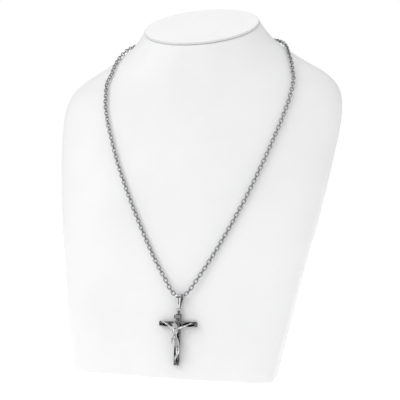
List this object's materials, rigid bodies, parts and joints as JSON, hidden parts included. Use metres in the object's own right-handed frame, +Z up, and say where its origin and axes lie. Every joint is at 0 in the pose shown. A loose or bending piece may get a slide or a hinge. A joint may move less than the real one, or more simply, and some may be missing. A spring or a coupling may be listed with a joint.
{
  "type": "crucifix pendant necklace on a neck bust stand",
  "caption": "Steel crucifix pendant with a cast figure on a bark-textured cross, hung by a tapered bail from a cable-chain necklace laid over a plain white neck bust.",
  "frame": {"origin": "centre of the bounding box on the surface that the bust stands on", "axes": "+Z up, -Y out of the front where the pendant lies, +X to the viewer's right"},
  "size_m": [0.228, 0.1374, 0.2826],
  "materials": {
    "bust_cover": "satin white leather-look cover",
    "cap_cover": "satin white leather-look cover",
    "chain_steel": "polished steel",
    "clasp_steel": "polished steel",
    "bail_steel": "polished steel",
    "ring_steel": "polished steel",
    "antiqued_steel": "dark antiqued steel with a bark grain",
    "figure_steel": "polished cast steel"
  },
  "bodies": {
    "root": {"neck_bust": "bust_cover", "neck_cap": "cap_cover", "chain": "chain_steel", "clasp": "clasp_steel", "bail": "bail_steel", "jump_ring": "ring_steel", "cross": "antiqued_steel", "corpus": "figure_steel"}
  },
  "joints": []
}
